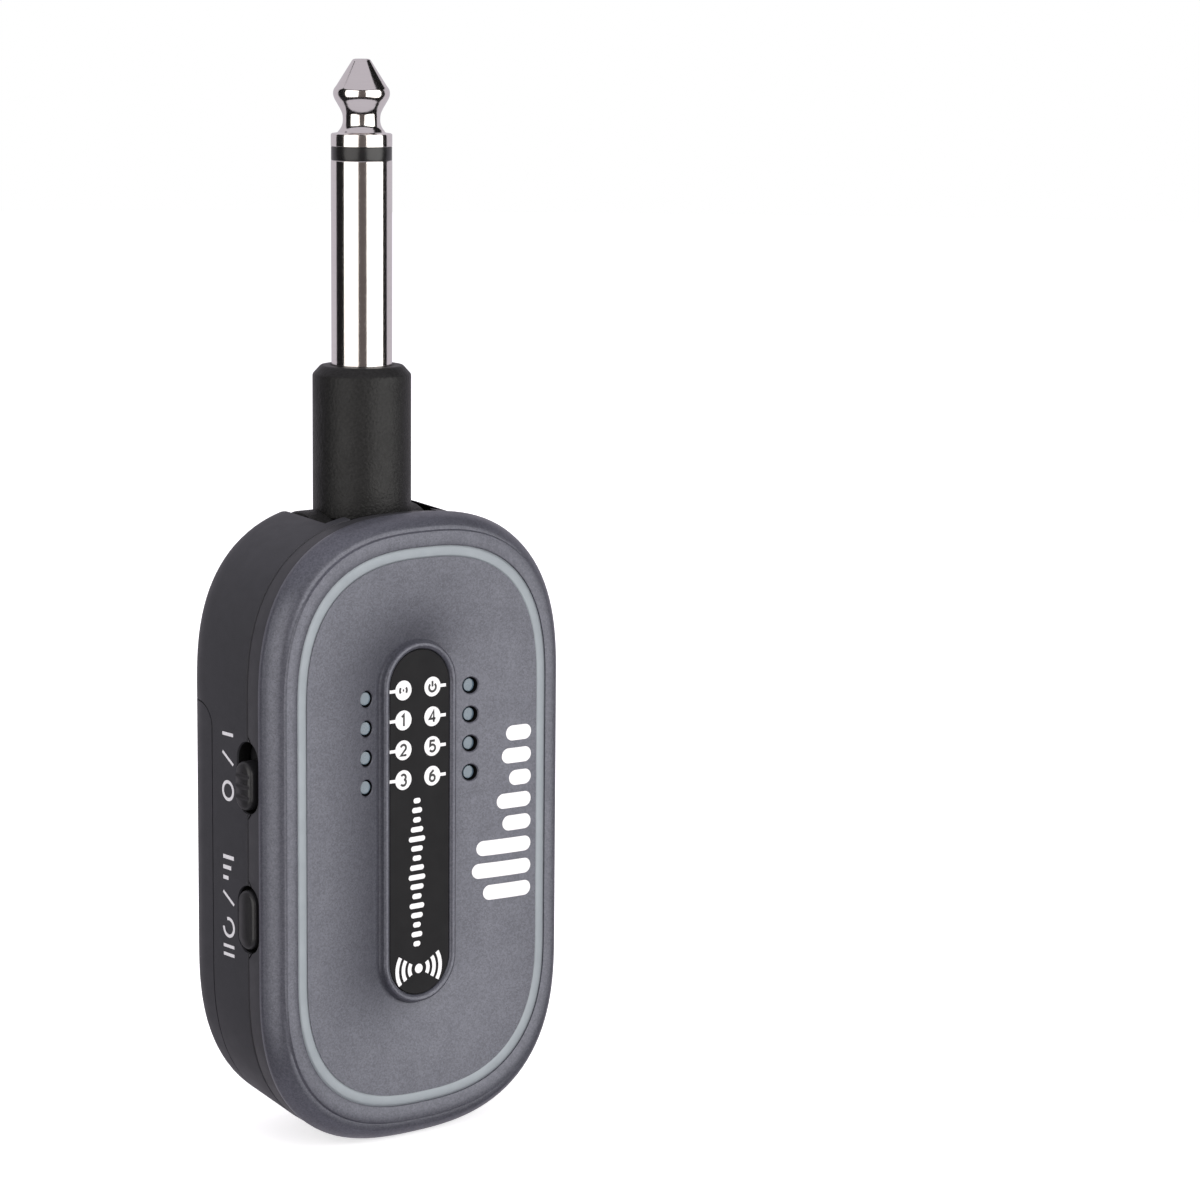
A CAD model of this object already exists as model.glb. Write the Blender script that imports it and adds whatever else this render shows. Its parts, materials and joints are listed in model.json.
import json
import math

import bmesh
import bpy
from mathutils import Matrix, Vector


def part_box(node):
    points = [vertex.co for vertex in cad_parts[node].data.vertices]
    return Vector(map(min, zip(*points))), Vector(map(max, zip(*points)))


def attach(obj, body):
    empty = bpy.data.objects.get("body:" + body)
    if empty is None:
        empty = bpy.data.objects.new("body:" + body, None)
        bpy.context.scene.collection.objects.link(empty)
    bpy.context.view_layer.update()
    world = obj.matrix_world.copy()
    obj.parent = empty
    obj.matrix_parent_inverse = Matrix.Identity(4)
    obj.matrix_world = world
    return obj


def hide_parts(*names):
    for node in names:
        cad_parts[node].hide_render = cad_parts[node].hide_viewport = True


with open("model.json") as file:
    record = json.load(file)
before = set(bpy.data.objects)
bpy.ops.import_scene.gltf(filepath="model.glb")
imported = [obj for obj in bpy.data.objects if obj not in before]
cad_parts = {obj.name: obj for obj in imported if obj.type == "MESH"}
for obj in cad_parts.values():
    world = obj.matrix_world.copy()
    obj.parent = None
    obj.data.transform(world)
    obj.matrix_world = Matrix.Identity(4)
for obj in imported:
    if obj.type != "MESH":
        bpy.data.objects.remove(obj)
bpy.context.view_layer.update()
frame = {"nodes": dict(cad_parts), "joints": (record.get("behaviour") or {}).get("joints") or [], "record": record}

MM = 0.001
scene = bpy.context.scene


def span(node):
    """A CAD node's lowest and highest corner, in millimetres."""
    low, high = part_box(node)
    return [v / MM for v in low], [v / MM for v in high]


# ---------- Sizes, all in millimetres, taken from the CAD frame ----------

low, high = span("front_cover")
HX, HZ = (high[0] - low[0]) / 2, (high[2] - low[2]) / 2
CZ = (high[2] + low[2]) / 2
STEP_Y = low[1]
low, high = span("trim_ring")
FACE = low[1]
TRIM = ((high[0] - low[0]) / 2, (high[2] - low[2]) / 2)
PZ = (high[2] + low[2]) / 2
low, high = span("label_window")
PILL = ((high[0] - low[0]) / 2, (high[2] - low[2]) / 2)
PILL_Z = (high[2] + low[2]) / 2
LABEL_Y = low[1]
low, high = span("rear_shell")
PARTING, REAR = low[1], high[1]
SEAM_Y, SEAM_Z, SEAM_GAP = 0.6, -34.0, 0.07
low, high = span("light_pipe_right")
LED_X = (low[0] + high[0]) / 2
LED_TOP_Y = low[1]
RUNNER_END = 1               # how far the lenses' runner reaches past the end lenses
LED_PITCH = (high[2] - low[2] - 2 * RUNNER_END) / 3
LED_Z = [high[2] - RUNNER_END - LED_PITCH * k for k in range(4)]
low, high = span("power_slider")
KNOB_X = low[0]
KNOB_Z = (low[2] + high[2]) / 2
FLANGE_X = high[0]
CONTROL_Y = (low[1] + high[1]) / 2
low, high = span("mode_button")
BUTTON_X = low[0]
BUTTON_Z = (low[2] + high[2]) / 2
low, high = span("plug_sleeve")
SLEEVE_TOP = high[2]
low, high = span("plug_insulator")
RING_TOP = high[2]
PLUG_R = (high[0] - low[0]) / 2
TIP_TOP = span("plug_tip")[1][2]
HINGE = [v / MM for v in frame["joints"][0]["pos_m"]]
N = 2.6                      # squareness of the body's and the panel's rounded ends
TRIM_W = 1.15
FOOT = (PILL[0] + 1.02, PILL[1] + 0.98)
DISH = 1.3                   # depth of the dished panel at the lip's foot
FOLD_Y = 2 * HINGE[1]        # where the plug's axis lies when it is folded
PIN_LINE = (0, *HINGE[1:])


# ---------- Outlines and lofts ----------

CAP, SIDE = 64, 22
_caps = {}


def unit_cap(n):
    """Evenly spaced points on half a superellipse of half width 1, from +x over the top to -x."""
    key = round(n, 4)
    if key not in _caps:
        dense = []
        for i in range(2401):
            t = math.pi * i / 2400
            c, s = math.cos(t), math.sin(t)
            dense.append((math.copysign(abs(c) ** (2 / n), c), abs(s) ** (2 / n)))
        run = [0.0]
        for a, b in zip(dense, dense[1:]):
            run.append(run[-1] + math.dist(a, b))
        out, k = [], 0
        for i in range(CAP + 1):
            want = run[-1] * i / CAP
            while k < len(run) - 2 and run[k + 1] < want:
                k += 1
            f = (want - run[k]) / (run[k + 1] - run[k])
            out.append(tuple(p + (q - p) * f for p, q in zip(dense[k], dense[k + 1])))
        _caps[key] = out
    return _caps[key]


def loop(hx, hz, n, y, cz):
    """A straight-sided outline with superellipse ends, as points at depth y."""
    cap, run = unit_cap(n), hz - hx
    pts = [(hx * x, y, cz + run + hx * z) for x, z in cap]
    pts += [(-hx, y, cz + run - 2 * run * i / SIDE) for i in range(1, SIDE)]
    pts += [(-hx * x, y, cz - run - hx * z) for x, z in cap]
    pts += [(hx, y, cz - run + 2 * run * i / SIDE) for i in range(1, SIDE)]
    return pts


def body(inset, y):
    """The body's outline, drawn in by inset."""
    return loop(HX - inset, HZ - inset, N, y, CZ)


def panel(half, y, grow=0.0):
    """An outline round the face's middle, such as the trim ring's."""
    return loop(half[0] + grow, half[1] + grow, N, y, PZ)


def lip(grow, y):
    """An outline of the rim round the label."""
    return loop(FOOT[0] + grow, FOOT[1] + grow, 2, y, PILL_Z)


def mix(a, b, t):
    return a + (b - a) * t


def dish_shape(t):
    """The dish's outline and depth, from the trim ring at 0 to the lip's foot at 1."""
    half = [mix(TRIM[k] - TRIM_W, FOOT[k], t) for k in (0, 1)]
    return half, mix(N, 2.0, t), FACE + 0.03 + DISH * t * t


def dish_y(x, z):
    """The dished panel's depth at a point of the face."""
    lo, hi = 0.0, 1.0
    for _ in range(30):
        t = (lo + hi) / 2
        half, n, _y = dish_shape(t)
        over = max(0.0, abs(z - mix(PZ, PILL_Z, t)) - (half[1] - half[0]))
        inside = (abs(x) / half[0]) ** n + (over / half[0]) ** n < 1
        lo, hi = (t, hi) if inside else (lo, t)
    return dish_shape(lo)[2]


def loft(rings, wrap=False, slots=None):
    """A mesh through rings of equal length. slots gives each band's material index."""
    bm = bmesh.new()
    rows = [[bm.verts.new(p) for p in r] for r in rings]
    pairs = list(zip(rows, rows[1:])) + ([(rows[-1], rows[0])] if wrap else [])
    n = len(rings[0])
    for k, (a, b) in enumerate(pairs):
        for i in range(n):
            j = (i + 1) % n
            f = bm.faces.new((a[i], a[j], b[j], b[i]))
            f.material_index = slots[k] if slots else 0
    if not wrap:
        bm.faces.new(rows[0][::-1])
        bm.faces.new(rows[-1])
    bmesh.ops.recalc_face_normals(bm, faces=bm.faces)
    return bm


def lathe(profile, axis="z", origin=(0, 0, 0), steps=96):
    """A turned solid, from (radius, height) points. A radius of 0 closes it on the axis."""
    bm = bmesh.new()
    rows = []
    for r, h in profile:
        if r < 1e-6:
            rows.append([bm.verts.new((0, 0, h))])
        else:
            angles = (2 * math.pi * i / steps for i in range(steps))
            rows.append([bm.verts.new((r * math.cos(a), r * math.sin(a), h)) for a in angles])
    closed = len(rows[0]) > 1 and len(rows[-1]) > 1
    for a, b in zip(rows, rows[1:] + ([rows[0]] if closed else [])):
        for i in range(steps):
            j = (i + 1) % steps
            if len(a) == 1 and len(b) > 1:
                bm.faces.new((a[0], b[j], b[i]))
            elif len(b) == 1 and len(a) > 1:
                bm.faces.new((a[i], a[j], b[0]))
            elif len(a) > 1:
                bm.faces.new((a[i], a[j], b[j], b[i]))
    turn = {
        "z": Matrix.Identity(4),
        "x": Matrix.Rotation(math.pi / 2, 4, "Y"),
        "y": Matrix.Rotation(-math.pi / 2, 4, "X"),
    }[axis]
    bmesh.ops.transform(bm, matrix=Matrix.Translation(origin) @ turn, verts=bm.verts)
    bmesh.ops.recalc_face_normals(bm, faces=bm.faces)
    return bm


def rod(r, a, b, axis="z", origin=(0, 0, 0), steps=96, chamfer=0.0):
    """A rod from a to b along an axis."""
    c = chamfer
    profile = [(0, a), (r, a), (r, b), (0, b)]
    if c:
        profile = [(0, a), (r - c, a), (r - c * 0.3, a + c * 0.3), (r, a + c),
                   (r, b - c), (r - c * 0.3, b - c * 0.3), (r - c, b), (0, b)]
    return lathe(profile, axis, origin, steps)


def prism(points, a, b, axis):
    """A prism of a flat outline between two planes. Points are the two other coordinates."""
    place = {
        "x": lambda p, q: (q, p[0], p[1]),
        "y": lambda p, q: (p[0], q, p[1]),
        "z": lambda p, q: (p[0], p[1], q),
    }[axis]
    return loft([[place(p, q) for p in points] for q in (a, b)])


def block(lo, hi):
    pts = [(lo[0], lo[1]), (hi[0], lo[1]), (hi[0], hi[1]), (lo[0], hi[1])]
    return prism(pts, lo[2], hi[2], "z")


def u_shape(r, back):
    """A trough's section: half round at the front, straight to the back."""
    arc = [(-r * math.cos(a), FOLD_Y - r * math.sin(a)) for a in
           (math.pi * i / 40 for i in range(41))]
    return [(-r, back)] + arc + [(r, back)]


def pill(w, h, y, z, steps=28):
    """A stadium outline in the side wall's plane, as (y, z) points."""
    r, out = w / 2, []
    for s in (1, -1):
        for i in range(steps + 1):
            a = math.pi * i / steps
            out.append((y + s * r * math.cos(a), z + s * (h / 2 - r + r * math.sin(a))))
    return out


def strip(points, w):
    """The two edges of a line of width w, as a list of point pairs."""
    out = []
    for i, (x, z) in enumerate(points):
        a, b = points[max(i - 1, 0)], points[min(i + 1, len(points) - 1)]
        d1 = Vector((x - a[0], z - a[1])) if i else Vector((b[0] - x, b[1] - z))
        d2 = Vector((b[0] - x, b[1] - z)) if i < len(points) - 1 else d1
        d1.normalize()
        d2.normalize()
        n = Vector((-(d1 + d2).y, (d1 + d2).x)).normalized()
        k = w / 2 / max(0.5, n.dot(Vector((-d1.y, d1.x))))
        out.append(((x + n.x * k, z + n.y * k), (x - n.x * k, z - n.y * k)))
    return out


# ---------- Objects ----------


def new_object(name, bm, mats):
    mesh = bpy.data.meshes.new(name)
    bm.to_mesh(mesh)
    bm.free()
    for m in mats:
        mesh.materials.append(m)
    o = bpy.data.objects.new(name, mesh)
    scene.collection.objects.link(o)
    return o


def settle(o):
    """Applies an object's modifiers to its mesh."""
    dg = bpy.context.evaluated_depsgraph_get()
    mesh = bpy.data.meshes.new_from_object(
        o.evaluated_get(dg), preserve_all_data_layers=True, depsgraph=dg
    )
    o.modifiers.clear()
    old, o.data = o.data, mesh
    mesh.name = o.name
    bpy.data.meshes.remove(old)


def cut(o, tools, mats=(), operation="DIFFERENCE"):
    """Cuts a mesh with each tool in turn. The tool's materials stay on the faces it makes."""
    for k, bm in enumerate(tools):
        tool = new_object(f"tool{k}", bm, mats or [m for m in o.data.materials][:1])
        mod = o.modifiers.new("cut", "BOOLEAN")
        mod.operation, mod.object, mod.solver = operation, tool, "EXACT"
        mod.material_mode = "TRANSFER"
        settle(o)
        bpy.data.objects.remove(tool)
    return o


def join(o, others):
    """Adds other meshes to a mesh, without merging them."""
    bm = bmesh.new()
    bm.from_mesh(o.data)
    for part in others:
        bm.from_mesh(part.data)
        bpy.data.objects.remove(part)
    bm.to_mesh(o.data)
    bm.free()
    return o


def finish(o, body_name, nodes=(), angle=32):
    """Scales a piece to metres, smooths it and hangs it on its body."""
    o.data.transform(Matrix.Scale(MM, 4))
    o.data.shade_smooth()
    o.data.set_sharp_from_angle(angle=math.radians(angle))
    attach(o, body_name)
    if nodes:
        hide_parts(*nodes)
    return o


# ---------- Materials ----------


FLAKE_SCALE = 6800           # cells per metre in the paint


def shader(name, color, rough, metal=0.0, coat=0.0, coat_rough=0.2, specular=0.5,
           tone=0.06, tone_scale=900, grain=0.0, grain_scale=6000, rough_range=0.05,
           rough_scale=500, flake=0.0, stretch=(1, 1, 1), depth=0.00002):
    """A procedural material: drifting colour, uneven roughness, fine grain and metal flakes."""
    m = bpy.data.materials.new(name)
    m.use_nodes = True
    nt = m.node_tree
    nodes, links = nt.nodes, nt.links
    p = nodes["Principled BSDF"]
    p.inputs["Metallic"].default_value = metal
    p.inputs["Coat Weight"].default_value = coat
    p.inputs["Coat Roughness"].default_value = coat_rough
    p.inputs["Specular IOR Level"].default_value = specular
    where = nodes.new("ShaderNodeTexCoord")
    mapping = nodes.new("ShaderNodeMapping")
    mapping.inputs["Scale"].default_value = stretch
    links.new(where.outputs["Object"], mapping.inputs["Vector"])

    def noise(scale, detail=3.0, kind="ShaderNodeTexNoise"):
        t = nodes.new(kind)
        t.inputs["Scale"].default_value = scale
        if kind == "ShaderNodeTexNoise":
            t.inputs["Detail"].default_value = detail
        links.new(mapping.outputs["Vector"], t.inputs["Vector"])
        return t

    def ranged(source, lo, hi):
        r = nodes.new("ShaderNodeMapRange")
        r.inputs["From Min"].default_value = 0.25
        r.inputs["From Max"].default_value = 0.75
        r.inputs["To Min"].default_value = lo
        r.inputs["To Max"].default_value = hi
        links.new(source, r.inputs["Value"])
        return r.outputs["Result"]

    drift = noise(tone_scale)
    value = ranged(drift.outputs["Fac"], 1 - tone, 1 + tone)
    if flake:
        cells = noise(FLAKE_SCALE, kind="ShaderNodeTexVoronoi")
        sparkle = nodes.new("ShaderNodeSeparateColor")
        links.new(cells.outputs["Color"], sparkle.inputs["Color"])
        spread = nodes.new("ShaderNodeMapRange")
        spread.inputs["To Min"].default_value = 1 - flake
        spread.inputs["To Max"].default_value = 1 + flake
        links.new(sparkle.outputs["Red"], spread.inputs["Value"])
        both = nodes.new("ShaderNodeMath")
        both.operation = "MULTIPLY"
        links.new(value, both.inputs[0])
        links.new(spread.outputs["Result"], both.inputs[1])
        value = both.outputs["Value"]
    tint = nodes.new("ShaderNodeVectorMath")
    tint.operation = "SCALE"
    tint.inputs[0].default_value = color
    links.new(value, tint.inputs["Scale"])
    links.new(tint.outputs["Vector"], p.inputs["Base Color"])
    rub = noise(rough_scale, 5.0)
    links.new(ranged(rub.outputs["Fac"], rough - rough_range, rough + rough_range),
              p.inputs["Roughness"])
    if grain:
        fine = noise(grain_scale, 4.0)
        bump = nodes.new("ShaderNodeBump")
        bump.inputs["Strength"].default_value = grain
        bump.inputs["Distance"].default_value = depth
        links.new(fine.outputs["Fac"], bump.inputs["Height"])
        links.new(bump.outputs["Normal"], p.inputs["Normal"])
    return m


PAINT = shader("metallic_paint", (0.092, 0.095, 0.1145), 0.39, metal=0.5, coat=0.1,
               coat_rough=0.35, flake=0.18, tone=0.07, tone_scale=2600, grain=0.5,
               grain_scale=5200)
TRIM_MAT = shader("trim_metal", (0.235, 0.262, 0.28), 0.42, metal=0.35, tone=0.03, grain=0.2)
SHELL = shader("shell_plastic", (0.030, 0.0305, 0.035), 0.52, tone=0.06, grain=0.5,
               grain_scale=7000, specular=0.45)
ARM = shader("arm_plastic", (0.0085, 0.0085, 0.0082), 0.46, tone=0.5, tone_scale=3600, grain=1.0,
             grain_scale=3400, depth=0.00007, specular=0.3)
BLACK = shader("control_plastic", (0.012, 0.012, 0.013), 0.42, tone=0.1, grain=0.4)
DARK = shader("recess_black", (0.004, 0.004, 0.004), 0.7, tone=0.1, specular=0.2)
LABEL = shader("label_film", (0.010, 0.010, 0.0108), 0.5, tone=0.03, grain=0.15, specular=0.12)
INK = shader("white_ink", (0.80, 0.80, 0.79), 0.55, tone=0.03, tone_scale=3000, grain=0.2)
INK_BLACK = shader("black_ink", (0.02, 0.02, 0.02), 0.5, tone=0.05)
SIDE_INK = shader("side_ink", (0.62, 0.62, 0.63), 0.55, tone=0.10, tone_scale=5000, grain=0.3)
LENS = shader("lens", (0.085, 0.125, 0.155), 0.28, coat=0.6, coat_rough=0.08, tone=0.08,
              tone_scale=1500)
NICKEL = shader("nickel", (0.84, 0.805, 0.78), 0.13, metal=1.0, tone=0.02, tone_scale=300,
                rough_range=0.03, rough_scale=260, grain=0.06, grain_scale=900,
                stretch=(1, 1, 14))
INSUL = shader("insulator", (0.010, 0.010, 0.010), 0.25, tone=0.05)

CAD_LOOKS = {
    "black_steel": shader("black_steel", (0.05, 0.05, 0.055), 0.35, metal=0.9, grain=0.2),
    "board_resin": shader("board_resin", (0.02, 0.12, 0.06), 0.3, tone=0.15, coat=0.5),
    "led_white": shader("led_white", (0.75, 0.75, 0.65), 0.3, tone=0.05),
    "chip_resin": shader("chip_resin", (0.02, 0.02, 0.022), 0.55, grain=0.5),
    "tin_steel": shader("tin_steel", (0.62, 0.62, 0.63), 0.28, metal=1.0, grain=0.2,
                        rough_range=0.08),
    "spring_metal": shader("spring_metal", (0.62, 0.55, 0.38), 0.3, metal=1.0, grain=0.2),
    "cell_foil": shader("cell_foil", (0.55, 0.56, 0.6), 0.35, metal=0.9, tone=0.1, grain=0.5,
                        grain_scale=1200),
    "foam_tape": shader("foam_tape", (0.6, 0.57, 0.48), 0.85, tone=0.15, grain=1.0),
    "cream_plastic": shader("cream_plastic", (0.68, 0.64, 0.52), 0.5, grain=0.3),
    "wire_red": shader("wire_red", (0.35, 0.02, 0.02), 0.45, grain=0.2),
    "wire_black": shader("wire_black", (0.015, 0.015, 0.015), 0.45, grain=0.2),
    "wire_white": shader("wire_white", (0.65, 0.65, 0.62), 0.5, grain=0.2),
    "wire_green": shader("wire_green", (0.02, 0.12, 0.05), 0.5, grain=0.2),
    "bush_brass": shader("bush_brass", (0.62, 0.44, 0.16), 0.3, metal=1.0, grain=0.3),
    "lens": LENS,
    "control_plastic": BLACK,
}
for part in frame["record"]["subparts"]:
    look = CAD_LOOKS.get(part["material_slot"])
    if look:
        node = frame["nodes"][part["node"]]
        node.data.materials.clear()
        node.data.materials.append(look)


# ---------- Front cover ----------

TRIM_IN = [v - TRIM_W for v in TRIM]
STEP_HALF = (17.33, 31.15)   # outline of the small step inside the rounded edge
STEP_Z = CZ + 0.2
PAINT_Y = -8.02              # where bare plastic ends and paint begins
EDGE_START, EDGE_PULL, EDGE_END = (0.09, -8.9), (0.45, -10.2), (1.36, -10.70)
rings = [
    lip(0.4, FACE + 2.3),
    panel(TRIM, FACE + 1.5, -1),
    body(2.6, FACE + 1.6), body(1.75, FACE + 2.4), body(1.75, PARTING),
    body(0.46, PARTING), body(0.34, PARTING - 0.05), body(0.25, PARTING - 0.2),
    body(0.17, PAINT_Y + 0.12), body(0.20, PAINT_Y + 0.07), body(0.20, PAINT_Y + 0.02),
    body(0.07, PAINT_Y - 0.04), body(0.02, PAINT_Y - 0.28), body(0.0, -8.55),
    body(0.025, -8.72), body(*EDGE_START),
]
bare_bands = 10              # the bands above that aren't painted, counted from the inside
for k in range(1, 11):
    t = k / 10
    u, v, w = (1 - t) ** 2, 2 * t * (1 - t), t * t
    rings.append(body(*(u * a + v * b + w * c
                        for a, b, c in zip(EDGE_START, EDGE_PULL, EDGE_END))))
for grow, y in ((0.1, -10.74), (0.04, -10.80), (0, -10.92), (-0.04, -11.01), (-0.14, STEP_Y)):
    rings.append(loop(STEP_HALF[0] + grow, STEP_HALF[1] + grow, N, y, STEP_Z))
rings += [
    panel(TRIM, FACE - 0.03, 0.12), panel(TRIM, FACE, 0.05),
    panel(TRIM, FACE + 0.12, 0.03), panel(TRIM_IN, FACE + 0.12, -0.02),
    panel(TRIM_IN, FACE + 0.04, -0.03),
]
for k in range(0, 31):
    half, n, y = dish_shape(k / 30)
    rings.append(loop(half[0], half[1], n, y, mix(PZ, PILL_Z, k / 30)))
LIP_TOP = LABEL_Y - 0.3
for grow, y in ((-0.06, 0.72), (-0.12, 0.62), (-0.17, 0.46), (-0.21, 0.3), (-0.26, 0.16),
                (-0.34, 0.06), (-0.45, 0.01), (-0.56, 0.0), (-0.67, 0.02), (-0.78, 0.07),
                (-0.88, 0.14), (-0.95, 0.23), (-0.99, 0.34), (-1.0, 1.0)):
    rings.append(lip(grow, LIP_TOP + y))
PAINTED, BARE = 0, 2
paints = [BARE] * bare_bands + [PAINTED] * (len(rings) - 1 - bare_bands)
front = new_object("front_skin", loft(rings, slots=paints), [PAINT, DARK, SHELL])


def led_tool(x, z):
    """A black-walled hole with a painted countersink that follows the dish."""
    bm = bmesh.new()
    steps = 64
    rows = []
    for r, depth, follows in ((1.16, -0.16, True), (0.86, 0.10, True), (0.86, 1.6, False)):
        ring = [(x + r * math.cos(2 * math.pi * i / steps),
                 z + r * math.sin(2 * math.pi * i / steps)) for i in range(steps)]
        rows.append([bm.verts.new((u, dish_y(*((u, v) if follows else (x, z))) + depth, v))
                     for u, v in ring])
    for k, (a, b) in enumerate(zip(rows, rows[1:])):
        for i in range(steps):
            j = (i + 1) % steps
            bm.faces.new((a[i], a[j], b[j], b[i])).material_index = k
    bm.faces.new(rows[0][::-1])
    bm.faces.new(rows[-1]).material_index = 1
    bmesh.ops.recalc_face_normals(bm, faces=bm.faces)
    return bm


def slot_tool(w, h, z, flare):
    """A slot through the left wall, with a flared mouth."""
    plan = [(-20.5, flare + 1.2), (-HX - 0.02, flare), (-HX + 0.25, 0.08), (-HX + 0.45, 0.0),
            (-16.0, 0.0)]
    rings = [[(x, y, q) for y, q in pill(w + 2 * g, h + 2 * g, CONTROL_Y, z)] for x, g in plan]
    return loft(rings, slots=[0, 0, 0, 1])


def usb_tool():
    """The charging inlet's opening in the bottom end."""
    low, high = span("usb_socket")
    y, w, h = (low[1] + high[1]) / 2, high[0] - low[0] + 0.6, high[1] - low[1] + 0.6
    plan = [(CZ - HZ - 1.5, 0.35), (CZ - HZ, 0.3), (CZ - HZ + 0.5, 0.0), (-76.0, 0.0)]
    rings = []
    for z, g in plan:
        rings.append([(x, q, z) for q, x in pill(h + 2 * g, w + 2 * g, y, 0.0)])
    return loft(rings)


SLOT_H, SLOT_MODE_H, SLOT_W = 7.4, 7.0, 3.8
POWER_SLOT_Z, MODE_SLOT_Z = KNOB_Z + 0.75, BUTTON_Z
slots = [(SLOT_W, SLOT_H, POWER_SLOT_Z), (SLOT_W, SLOT_MODE_H, MODE_SLOT_Z)]
cut(front, [led_tool(s * LED_X, z) for s in (-1, 1) for z in LED_Z], [PAINT, DARK])
cut(front, [slot_tool(w, h, z, 0.2) for w, h, z in slots], [SHELL, DARK])
cut(front, [usb_tool()], [SHELL])
for _w, h, z in slots:       # the parting line's steps at both ends of each slot
    for s in (-1, 1):
        end = z + s * h / 2
        line = strip([(PARTING + 0.3, end + s * 0.95), (PARTING, end + s * 0.75),
                      (PAINT_Y + 0.05, end - s * 1.8)], 0.15)
        outline = [p for p, _q in line] + [q for _p, q in line[::-1]]
        cut(front, [prism(outline, -HX - 0.3, -HX + 0.42, "x")], [DARK])
finish(front, "housing", ["front_cover"])

# Trim ring
band = [
    panel(TRIM, FACE + 0.4, 0.0), panel(TRIM, FACE + 0.11, 0.0),
    panel(TRIM, FACE + 0.02, -0.16), panel(TRIM, FACE, -0.24),
    panel(TRIM_IN, FACE, 0.2), panel(TRIM_IN, FACE + 0.02, 0.12),
    panel(TRIM_IN, FACE + 0.09, 0.0), panel(TRIM_IN, FACE + 0.4, 0.0),
]
trim = new_object("trim_band", loft(band, wrap=True), [TRIM_MAT])
finish(trim, "housing", ["trim_ring"])

# Label plate
plate = new_object("label_plate", loft([
    lip(-1.05, LABEL_Y + 0.45), lip(-1.05, LABEL_Y + 0.05), lip(-1.1, LABEL_Y)]), [LABEL])
finish(plate, "housing", ["label_window"])

# Lenses
lens_profile = [(0, 2.2), (0.70, 2.2), (0.70, 0.10), (0.66, 0.035), (0.55, 0.008), (0.3, 0),
                (0, 0)]
for s, node_name in ((-1, "light_pipe_left"), (1, "light_pipe_right")):
    parts = [new_object("lens", lathe(lens_profile, "y", (s * LED_X, LED_TOP_Y, z), 48), [LENS])
             for z in LED_Z]
    runner = new_object(f"lenses_{'left' if s < 0 else 'right'}",
                        block((s * LED_X - 0.8, FACE + 2.3, LED_Z[3] - RUNNER_END),
                              (s * LED_X + 0.8, FACE + 3.4, LED_Z[0] + RUNNER_END)), [LENS])
    finish(join(runner, parts), "housing", [node_name])


# ---------- Rear shell and rear cover ----------

EDGE_R, WALL = 4.2, 1.5
REAR_INSET = 0.25            # how far the rear cup stands back from the front cover's edge
REAR_SHRINK, REAR_LIFT = 0.6, 1.5
COLLAR_R, KNUCKLE_R, KNUCKLE_HALF = 5.15, 5.0, 7.3
COLLAR_SPACE, PLUG_SPACE = 5.6, PLUG_R + 0.575
COLLAR_END, PLUG_END = 2 * HINGE[2] - 0.8, -73.2
POCKET_HALF, POCKET_FRONT, POCKET_LOW = 7.9, -4.5, -25.5
CHANNEL_WALL = 1.1
BORE_R = 2.8                 # the hinge bore, with room for the bush
SCREWS = [(-12.6, -27.5), (12.6, -27.5), (-11.6, -69.5), (11.6, -69.5)]
SCREW_R, SCREW_HEAD_R, SCREW_TUBE_R, SCREW_HEAD_Y = 1.15, 2.1, 2.4, 3.4
BOSS_X, PIN_BORE_R = 8.9, 2.01


def rear(inset, y):
    """The rear cup's outline, which draws in and rises towards the back."""
    k = (y - PARTING) / (REAR - PARTING)
    return loop(HX - inset, HZ - inset - REAR_SHRINK * k, N, y, CZ + REAR_LIFT * k)


def outer_rings(inset):
    """The outside of the rear cup, drawn in by inset."""
    out = []
    for k in range(15):
        a = math.radians(90 * (14 - k) / 14)
        out.append(rear(inset + EDGE_R * (1 - math.cos(a)),
                        REAR + REAR_INSET - inset - EDGE_R * (1 - math.sin(a))))
    return out + [rear(inset, -5.5), rear(inset + 0.03, -5.64),
                  rear(inset + 0.15, PARTING + 0.07), rear(inset + 0.3, PARTING)]


cup_rings = outer_rings(REAR_INSET) + [rear(REAR_INSET + WALL, PARTING)]
for k in range(7):
    a = math.radians(90 * k / 6)
    r = EDGE_R - WALL
    cup_rings.append(rear(REAR_INSET + WALL + r * (1 - math.cos(a)),
                          REAR - WALL - r * (1 - math.sin(a))))


def cover_zone(gap):
    """The side view of the room that the rear cover fills, grown by gap."""
    corner = 2.5
    pts = [(SEAM_Y - gap, -90), (30, -90), (30, SEAM_Z + gap)]
    cy, cz, r = SEAM_Y + corner, SEAM_Z - corner, corner + gap
    pts += [(cy - r * math.sin(math.radians(a)), cz + r * math.cos(math.radians(a)))
            for a in range(0, 91, 6)]
    return prism(pts, -25, 25, "x")


def space_tools():
    """The room for the folded collar, the folded plug, the knuckle and the upright collar."""
    return [
        prism(u_shape(COLLAR_SPACE, REAR + 1), COLLAR_END, HINGE[2], "z"),
        prism(u_shape(PLUG_SPACE, REAR + 1), PLUG_END, COLLAR_END + 1, "z"),
        block((-POCKET_HALF, POCKET_FRONT, POCKET_LOW), (POCKET_HALF, REAR + 1, -10)),
        block((-COLLAR_R - 0.4, PARTING - 1, -15.9), (COLLAR_R + 0.4, REAR + 0.5, -10)),
    ]


def hinge_bore():
    return rod(BORE_R, -10, 10, "x", PIN_LINE, 64)


def screw_tools(places):
    """A bore and a head recess for each screw."""
    out = []
    for x, z in places:
        out.append(rod(SCREW_HEAD_R, SCREW_HEAD_Y, REAR + 1, "y", (x, 0, z), 64))
        out.append(rod(SCREW_R, -5, 4, "y", (x, 0, z), 48))
    return out


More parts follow.
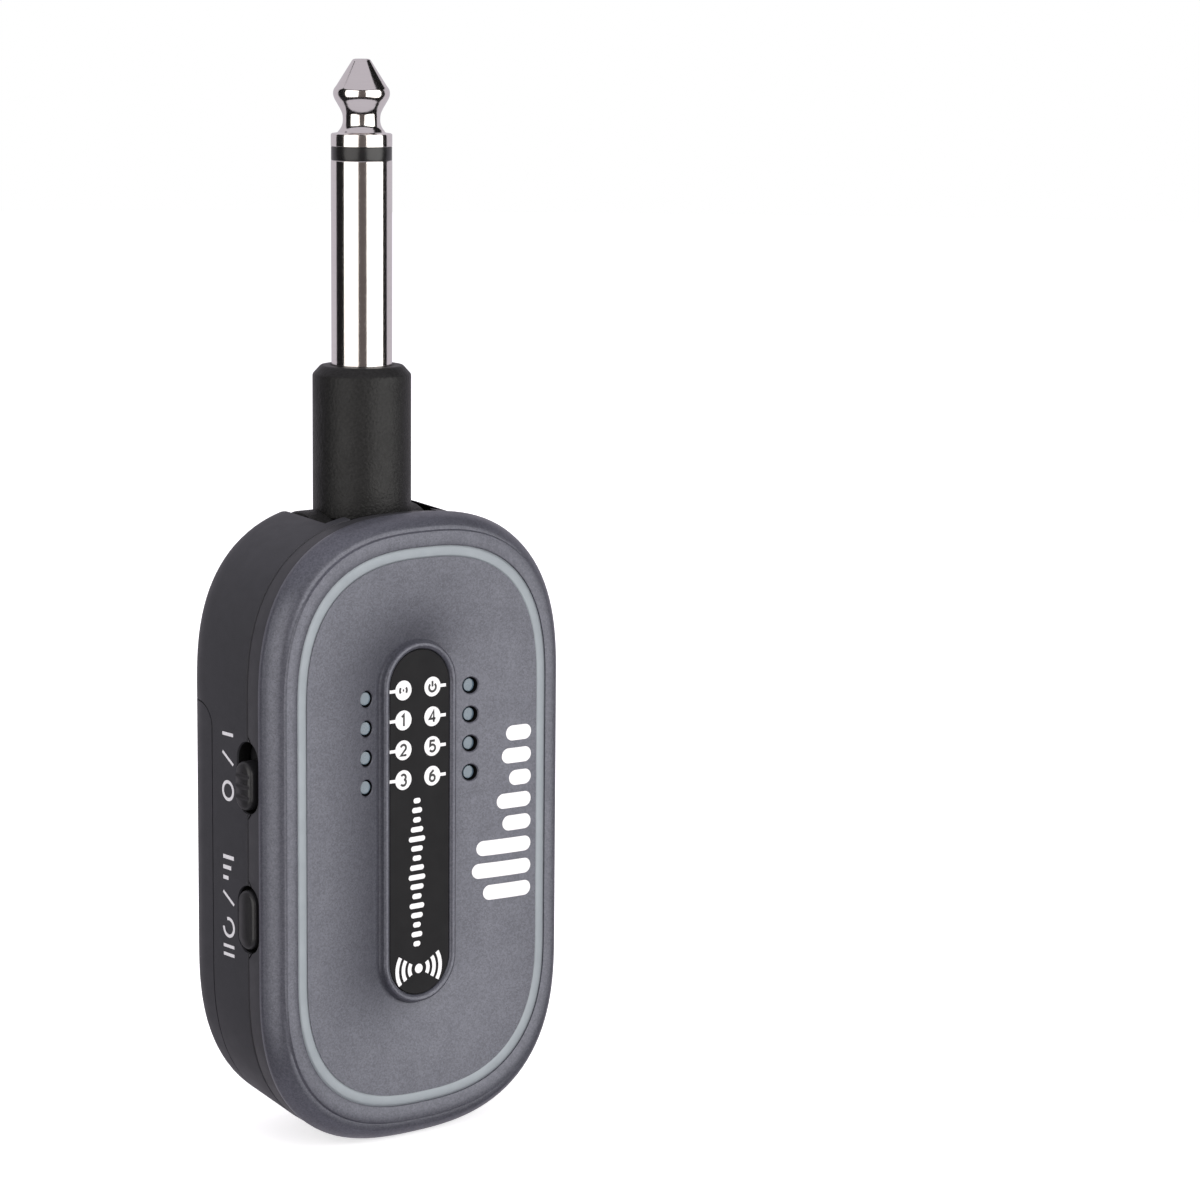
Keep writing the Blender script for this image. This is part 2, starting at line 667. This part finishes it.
def channel_walls(lo, hi):
    """The walls round the hinge pocket and the plug's channel, between two heights."""
    back = REAR - WALL
    collar_wall = prism(u_shape(COLLAR_SPACE + CHANNEL_WALL, back),
                        COLLAR_END - CHANNEL_WALL, POCKET_LOW + 0.5, "z")
    plug_wall = prism(u_shape(PLUG_SPACE + CHANNEL_WALL, back),
                      PLUG_END - CHANNEL_WALL, COLLAR_END, "z")
    pocket_wall = new_object("walls", loft(outer_rings(REAR_INSET + 0.1)), [SHELL])
    side, low_z = POCKET_HALF + CHANNEL_WALL, POCKET_LOW - CHANNEL_WALL
    cut(pocket_wall, [block((-side, -5.5, low_z), (side, back, -10))], operation="INTERSECT")
    keep = []
    trough = [new_object("walls", bm, [SHELL]) for bm in (collar_wall, plug_wall)]
    for o in trough + [pocket_wall]:
        cut(o, [block((-20, -10, lo), (20, 20, hi))], operation="INTERSECT")
        if len(o.data.polygons):
            cut(o, space_tools() + [hinge_bore()])
            keep.append(o)
        else:
            bpy.data.objects.remove(o)
    return join(keep[0], keep[1:])


def screw_tubes(places):
    """A tube behind each screw's recess, bored for the screw."""
    tubes = [new_object("tube", rod(SCREW_TUBE_R, -4.05, REAR - WALL, "y", (x, 0, z), 48),
                        [SHELL]) for x, z in places]
    return [cut(o, screw_tools(places)) for o in tubes]


shell = new_object("rear_skin", loft(cup_rings), [SHELL, DARK])
cut(shell, [cover_zone(SEAM_GAP)])
cut(shell, space_tools())
cut(shell, screw_tools(SCREWS[:2]))
cut(shell, [slot_tool(w, h, z, 0.12) for w, h, z in slots], [SHELL, DARK])
cut(shell, [usb_tool()])
walls = channel_walls(SEAM_Z, 0)
bosses = [new_object("boss", rod(BORE_R + 0.5, s * BOSS_X - 0.5, s * BOSS_X + 0.5, "x",
                                 PIN_LINE, 64), [SHELL]) for s in (-1, 1)]
for o in bosses:
    cut(o, [hinge_bore()])
join(shell, [walls] + bosses + screw_tubes(SCREWS[:2]))
finish(shell, "housing", ["rear_shell"])

cover = new_object("rear_cover_skin", loft(cup_rings), [SHELL, DARK])
cut(cover, [cover_zone(-SEAM_GAP)], operation="INTERSECT")
cut(cover, space_tools()[:2])
cut(cover, screw_tools(SCREWS[2:]))
join(cover, [channel_walls(-90, SEAM_Z - SEAM_GAP)] + screw_tubes(SCREWS[2:]))
finish(cover, "housing", ["rear_cover"])


# ---------- Arm and plug ----------

collar_profile = [(0, -15.6), (COLLAR_R, -15.6), (COLLAR_R, -1.1), (5.12, -0.95), (5.02, -0.8),
                  (4.42, -0.14), (4.28, -0.03), (4.1, 0.0), (3.35, 0.0), (3.3, -0.08),
                  (0, -0.08)]
arm = new_object("arm_skin", lathe(collar_profile, steps=160), [ARM])
knuckle = new_object("knuckle", rod(KNUCKLE_R, -KNUCKLE_HALF, KNUCKLE_HALF, "x", PIN_LINE, 144,
                                    0.45), [ARM])
neck = new_object("neck", rod(COLLAR_R - 0.05, -20, -15, steps=128), [ARM])
cut(neck, [rod(KNUCKLE_R + 0.02, -9, 9, "x", PIN_LINE, 144)], operation="INTERSECT")
cut(knuckle, [rod(PIN_BORE_R, -9, 9, "x", PIN_LINE, 96)])
join(arm, [knuckle, neck])
finish(arm, "arm", ["plug_arm"])

sleeve = new_object("sleeve_skin", lathe([
    (PLUG_R, 0), (PLUG_R, SLEEVE_TOP - 0.06), (PLUG_R - 0.05, SLEEVE_TOP), (1.9, SLEEVE_TOP),
    (1.9, -9), (2.9, -9), (2.9, -0.05)], steps=160), [NICKEL])
finish(sleeve, "arm", ["plug_sleeve"])
insulator = new_object("ring_skin", lathe([
    (1.1, -10), (1.9, -10), (1.9, SLEEVE_TOP), (PLUG_R - 0.05, SLEEVE_TOP),
    (PLUG_R - 0.02, SLEEVE_TOP + 0.05), (PLUG_R - 0.02, RING_TOP - 0.05),
    (PLUG_R - 0.05, RING_TOP), (1.1, RING_TOP)], steps=160), [INSUL])
finish(insulator, "arm", ["plug_insulator"])


def spline(points, parts=6):
    """A Catmull-Rom curve through (radius, height) points."""
    out = []
    for i in range(len(points) - 1):
        p = [points[max(0, min(len(points) - 1, i + k))] for k in (-1, 0, 1, 2)]
        for s in range(parts):
            t = s / parts
            out.append(tuple(0.5 * (2 * p[1][k] + (p[2][k] - p[0][k]) * t
                       + (2 * p[0][k] - 5 * p[1][k] + 4 * p[2][k] - p[3][k]) * t * t
                       + (3 * p[1][k] - p[0][k] - 3 * p[2][k] + p[3][k]) * t ** 3)
                       for k in (0, 1)))
    return out + [points[-1]]


z = RING_TOP
ball = spline([(2.36, z + 1.62), (2.12, z + 1.95), (1.97, z + 2.35), (1.93, z + 2.8),
               (1.98, z + 3.3), (2.18, z + 3.8), (2.52, z + 4.4), (2.80, z + 4.9),
               (2.93, z + 5.35), (2.88, z + 5.8), (2.72, z + 6.08)])
tip_profile = ([(0, -12), (1.1, -12), (1.1, z), (PLUG_R - 0.06, z), (PLUG_R, z + 0.06),
                (PLUG_R, z + 1.2), (PLUG_R - 0.04, z + 1.3), (PLUG_R - 0.14, z + 1.36),
                (2.56, z + 1.42), (2.45, z + 1.48)] + ball
               + [(2.62, z + 6.2), (1.02, TIP_TOP - 0.24), (0.94, TIP_TOP - 0.12),
                  (0.8, TIP_TOP - 0.03), (0.62, TIP_TOP), (0, TIP_TOP)])
tip = new_object("tip_skin", lathe(tip_profile, steps=160), [NICKEL])
finish(tip, "arm", ["plug_tip"], angle=24)


# ---------- Controls ----------


def rounded_pill(w, h, x_top, x_low, y, z, r, crown=0.0, steps=8):
    """A button shape that grows out of the left wall, rounded at its outer edge."""
    rings = [[(x_low, p, q) for p, q in pill(w, h, y, z)]]
    for k in range(steps + 1):
        a = math.radians(90 * k / steps)
        g = r * (1 - math.cos(a))
        x = x_top + crown + r * (1 - math.sin(a))
        rings.append([(x, p, q) for p, q in pill(w - 2 * g, h - 2 * g, y, z)])
    last_w, last_h = w - 2 * r, h - 2 * r
    for k in range(1, 6):
        f = 1 - k / 6
        rings.append([(x_top + crown * f * f, p, q)
                      for p, q in pill(last_w * f, last_h - last_w * (1 - f), y, z)])
    return loft(rings)


def control_flange(z, half_h):
    """The dark plate behind a control, inside the wall."""
    return new_object("flange", block((FLANGE_X - 0.5, CONTROL_Y - 2.3, z - half_h),
                                      (FLANGE_X, CONTROL_Y + 2.3, z + half_h)), [DARK])


KNOB_W, KNOB_H = 2.8, 5.1
BUTTON_W, BUTTON_H = 3.0, 6.2
GROOVE_R, GROOVE_PITCH = 0.34, 1.1
knob = new_object("slider_knob", rounded_pill(KNOB_W, KNOB_H, KNOB_X, FLANGE_X - 0.4, CONTROL_Y,
                                              KNOB_Z, 0.5, 0.12), [BLACK])
cut(knob, [rod(GROOVE_R, -3, 3, "y", (KNOB_X - 0.1, CONTROL_Y, KNOB_Z + k * GROOVE_PITCH), 40)
           for k in (-1, 0, 1)])
finish(join(knob, [control_flange(KNOB_Z, 4.8)]), "slider", ["power_slider"])
button = new_object("mode_cap", rounded_pill(BUTTON_W, BUTTON_H, BUTTON_X, FLANGE_X - 0.4,
                                             CONTROL_Y, BUTTON_Z, 0.45, 0.15), [BLACK])
finish(join(button, [control_flange(BUTTON_Z, 3.8)]), "button", ["mode_button"])


# ---------- Printed marks ----------


def arc(x, z, r, a0, a1, n=20):
    return [(x + r * math.cos(math.radians(mix(a0, a1, i / n))),
             z + r * math.sin(math.radians(mix(a0, a1, i / n)))) for i in range(n + 1)]


def disc(x, z, r, n=40):
    """A disc as point pairs across it."""
    out = []
    for i in range(n + 1):
        a = math.pi * (0.003 + 0.994 * i / n)
        across, h = x + r * math.cos(a), r * math.sin(a)
        out.append(((across, z + h), (across, z - h)))
    return out


def bar(x0, x1, z, w, n=10):
    """A round-ended bar along x as point pairs."""
    r = w / 2
    out = []
    for i in range(n + 1):
        a = math.pi / 2 * i / n
        h = max(0.004, r * math.sin(a))
        out.append((x0 + r - r * math.cos(a), h))
    for i in range(1, 13):
        out.append((mix(x0 + r, x1 - r, i / 12), r))
    for i in range(1, n + 1):
        a = math.pi / 2 * i / n
        out.append((x1 - r + r * math.sin(a), max(0.004, r * math.cos(a))))
    return [((x, z + h), (x, z - h)) for x, h in out]


def marks(name, shapes, place, mat, body_name="housing", rows=3):
    """Thin prints. Each shape is a list of point pairs, which place(u, v, lift) lays down."""
    bm = bmesh.new()
    for k, pairs in enumerate(shapes):
        lift = 0.012 + 0.0006 * (k % 9)
        grid = [[bm.verts.new(place(mix(a[0], b[0], j / rows), mix(a[1], b[1], j / rows), lift))
                 for j in range(rows + 1)] for a, b in pairs]
        for p, q in zip(grid, grid[1:]):
            for j in range(rows):
                bm.faces.new((p[j], p[j + 1], q[j + 1], q[j]))
    o = new_object(name, bm, [mat])
    return finish(o, body_name)


def on_label(lift_extra=0.0):
    return lambda u, v, lift: (u, LABEL_Y - lift - lift_extra, v)


def glyph(points_list, x, z, size, w):
    """A number or sign as lines of width w."""
    return [strip([(x + u * size, z + v * size) for u, v in pts], w) for pts in points_list]


DOT_R, DOT_PITCH = 1.04, 3.15
WAVE_PITCH = 1.02
EMBLEM_TOP, EMBLEM_PITCH = 8.6, 2.42
SIGNS = {
    1: [[(-0.18, 0.3), (0.05, 0.48), (0.05, -0.5)]],
    2: [arc(0, 0.2, 0.27, 165, -35) + [(-0.26, -0.44), (0.32, -0.44)]],
    3: [arc(0, 0.22, 0.25, 150, -75), arc(0, -0.2, 0.28, 75, -150)],
    4: [[(0.33, -0.2), (-0.3, -0.2), (0.14, 0.48), (0.14, -0.5)]],
    5: [[(0.27, 0.46), (-0.2, 0.46), (-0.24, 0.04)] + arc(0, -0.17, 0.3, 130, -150)],
    6: [arc(0, -0.2, 0.27, 0, 360, 28), [(-0.27, -0.16), (-0.2, 0.2), (0.14, 0.48)]],
    "power": [arc(0, -0.06, 0.36, 130, 410, 28), [(0, 0.5), (0, 0.0)]],
    "scan": [arc(0, 0, 0.36, 40, -40, 10), arc(0, 0, 0.36, 140, 220, 10),
             [(-0.07, 0.0), (0.07, 0.0)]],
}
white, black = [], []
for s, names in ((-1, ("scan", 1, 2, 3)), (1, ("power", 4, 5, 6))):
    for k, sign in enumerate(names):
        x, z = s * 1.87 - 0.25, LED_Z[0] + 0.45 - k * DOT_PITCH
        white.append(disc(x, z, DOT_R))
        white.append(strip([(x + s * 1.0, z), (x + s * 1.75, z)], 0.34))
        black += glyph(SIGNS[sign], x, z, 1.22, 0.25)
wave = (0.5, 0.9, 0.6, 1.2, 1.7, 1.1, 0.7, 1.4, 1.75, 1.3, 0.8, 1.5, 1.1, 0.6, 1.0, 0.5)
for k, length in enumerate(wave):
    z = LED_Z[3] - 2.1 - k * WAVE_PITCH
    white.append(bar(-0.35 - length / 2 - 0.2, -0.35 + length / 2 + 0.2, z, 0.56))
radio_z = PILL_Z - 15.6
white.append(disc(-0.1, radio_z, 0.5))
for r in (1.2, 2.0, 2.8):
    white.append(strip(arc(-0.1, radio_z, r, 32, -32), 0.46))
    white.append(strip(arc(-0.1, radio_z, r, 148, 212), 0.46))
marks("label_marks", white, on_label(), INK)
marks("label_digits", black, on_label(0.008), INK_BLACK)

emblem = []
for k, (x0, length) in enumerate(((10.9, 3.2), (10.4, 3.7), (11.3, 2.8), (9.8, 4.3), (10.5, 3.6),
                                  (7.4, 6.7), (6.9, 7.2), (8.2, 5.9))):
    emblem.append(bar(x0, x0 + length, PZ + EMBLEM_TOP - k * EMBLEM_PITCH, 1.62))
marks("emblem_marks", emblem, lambda u, v, lift: (u, dish_y(u, v) - lift, v), INK, rows=6)


def on_side(u, v, lift):
    return (-(HX - 0.25) - lift, u, v)


SIDE_Y = -2.3
SIGN_HALF = 0.98
top = POWER_SLOT_Z + 4.0
side = [strip([(SIDE_Y - SIGN_HALF, top), (SIDE_Y + SIGN_HALF, top)], 0.36),
        strip([(SIDE_Y - SIGN_HALF, top - 3.1), (SIDE_Y + SIGN_HALF, top - 1.9)], 0.3),
        strip(arc(SIDE_Y, top - 5.9, 0.92, 0, 360, 36), 0.34)]
top = MODE_SLOT_Z + 5.9
for k in range(3):
    z = top - k * 1.1
    side.append(strip([(SIDE_Y - SIGN_HALF + 0.5 * k, z), (SIDE_Y + SIGN_HALF, z)], 0.42))
side.append(strip([(SIDE_Y - SIGN_HALF, top - 4.9), (SIDE_Y + SIGN_HALF, top - 3.7)], 0.3))
side.append(strip(arc(SIDE_Y, top - 7.4, 0.92, 70, 360, 32), 0.34))
for z in (top - 9.4, top - 10.3):
    side.append(strip([(SIDE_Y - SIGN_HALF, z), (SIDE_Y + SIGN_HALF, z)], 0.34))
marks("side_marks", side, on_side, SIDE_INK)


# ---------- Floor, light and camera ----------

CAM_AZ = math.radians(35.78)
CAM_DISTANCE, CAM_HEIGHT = 0.400, 40 * MM
TO_CAM = Vector((-math.sin(CAM_AZ), -math.cos(CAM_AZ), 0))
RIGHT = Vector((math.cos(CAM_AZ), -math.sin(CAM_AZ), 0))
MIDDLE = Vector((0, 0, -20 * MM))


def toward(angle, lift=0.0):
    """A direction seen from the object: angle from the camera, positive to the right."""
    a, e = math.radians(angle), math.radians(lift)
    flat = TO_CAM * math.cos(a) + RIGHT * math.sin(a)
    return flat * math.cos(e) + Vector((0, 0, math.sin(e)))


def softbox(name, angle, lift, distance, size_x, size_y, power, color):
    data = bpy.data.lights.new(name, "AREA")
    data.shape, data.size, data.size_y = "RECTANGLE", size_x, size_y
    data.energy, data.color = power, color
    o = bpy.data.objects.new(name, data)
    o.location = MIDDLE + toward(angle, lift) * distance
    o.rotation_mode = "QUATERNION"
    o.rotation_quaternion = (o.location - MIDDLE).to_track_quat("Z", "Y")
    o.visible_camera = False
    scene.collection.objects.link(o)
    return o


softbox("key_right", 53, 4, 0.8, 1.05, 1.05, 9.4, (1.0, 0.985, 0.965))
softbox("key_left", -41, 4, 0.8, 0.86, 1.05, 5.4, (1.0, 0.98, 0.955))
softbox("top", 0, 80, 0.9, 0.7, 0.7, 2.6, (0.97, 0.97, 1.0)).visible_glossy = False


def plain(name, color, glow=0.0):
    """An even, matt material for the cards and the floor."""
    m = bpy.data.materials.new(name)
    m.use_nodes = True
    p = m.node_tree.nodes["Principled BSDF"]
    p.inputs["Base Color"].default_value = (*color, 1)
    p.inputs["Roughness"].default_value = 0.9
    p.inputs["Specular IOR Level"].default_value = 0.2
    p.inputs["Emission Color"].default_value = (1, 1, 1, 1)
    p.inputs["Emission Strength"].default_value = glow
    return m


def curved_card(name, radius, a0, a1, z0, z1, mat):
    """A dark card round the object, for the gaps between the reflected softboxes."""
    bm = bmesh.new()
    rows = []
    for i in range(41):
        d = toward(mix(a0, a1, i / 40))
        rows.append([bm.verts.new(MIDDLE + d * radius + Vector((0, 0, z))) for z in (z0, z1)])
    for a, b in zip(rows, rows[1:]):
        bm.faces.new((a[0], a[1], b[1], b[0]))
    o = new_object(name, bm, [mat])
    o.visible_camera = o.visible_diffuse = o.visible_shadow = False
    o.visible_transmission = o.visible_volume_scatter = False
    return o


CARD_R = 1.1
card = plain("card", (0.01, 0.01, 0.01))
curved_card("dark_card_left", CARD_R, -110, -60, -1.1, 1.1, card)
curved_card("dark_card_right", CARD_R, 70, 110, -1.1, 1.1, card)
curved_card("dark_card_high", CARD_R, -60, 70, 0.72, 1.15, card)
curved_card("dark_card_shoulder", CARD_R + 0.02, 88, 150, 0.62, 1.5, card)
curved_card("dark_card_low", CARD_R, -60, 70, -1.15, -0.72, card)
gap = plain("card_gap", (0.02, 0.02, 0.02), glow=0.105)
gap.node_tree.nodes["Principled BSDF"].inputs["Emission Color"].default_value = (1, 0.83, 0.78, 1)
curved_card("dark_card_middle", CARD_R, -60, 70, -0.71, 0.71, gap)

FLOOR_Z, FLOOR_R = (CZ - HZ) * MM, 1.6
floor = bmesh.new()
rim = [floor.verts.new((FLOOR_R * math.cos(a), FLOOR_R * math.sin(a), FLOOR_Z))
       for a in (2 * math.pi * i / 96 for i in range(96))]
floor.faces.new(rim)
floor_object = new_object("floor", floor, [plain("pale_floor", (0.93, 0.93, 0.93), glow=0.6)])
floor_object.visible_diffuse = floor_object.visible_glossy = False

world = bpy.data.worlds.new("studio")
world.use_nodes = True
nt = world.node_tree
ambient = nt.nodes["Background"]
ambient.inputs["Color"].default_value = (0.93, 0.88, 0.97, 1)
ambient.inputs["Strength"].default_value = 0.62
seen = nt.nodes.new("ShaderNodeBackground")
seen.inputs["Color"].default_value = (1, 1, 1, 1)
rays = nt.nodes.new("ShaderNodeLightPath")
either = nt.nodes.new("ShaderNodeMixShader")
nt.links.new(rays.outputs["Is Camera Ray"], either.inputs["Fac"])
nt.links.new(ambient.outputs["Background"], either.inputs[1])
nt.links.new(seen.outputs["Background"], either.inputs[2])
nt.links.new(either.outputs["Shader"], nt.nodes["World Output"].inputs["Surface"])
scene.world = world
scene.view_settings.view_transform = "Standard"

camera_data = bpy.data.cameras.new("camera")
camera_data.lens, camera_data.sensor_width = 115.23, 36.0
camera_data.clip_start, camera_data.clip_end = 0.02, 20
camera = bpy.data.objects.new("camera", camera_data)
camera.location = TO_CAM * CAM_DISTANCE + Vector((0, 0, CAM_HEIGHT))
yaw, pitch, roll = (math.radians(v) for v in (39.371, 9.199, 0.511))
camera.rotation_mode = "QUATERNION"
turn = (Matrix.Rotation(-yaw, 3, "Z") @ Matrix.Rotation(math.pi / 2 - pitch, 3, "X")
        @ Matrix.Rotation(roll, 3, "Z"))
camera.rotation_quaternion = turn.to_quaternion()
scene.collection.objects.link(camera)
scene.camera = camera
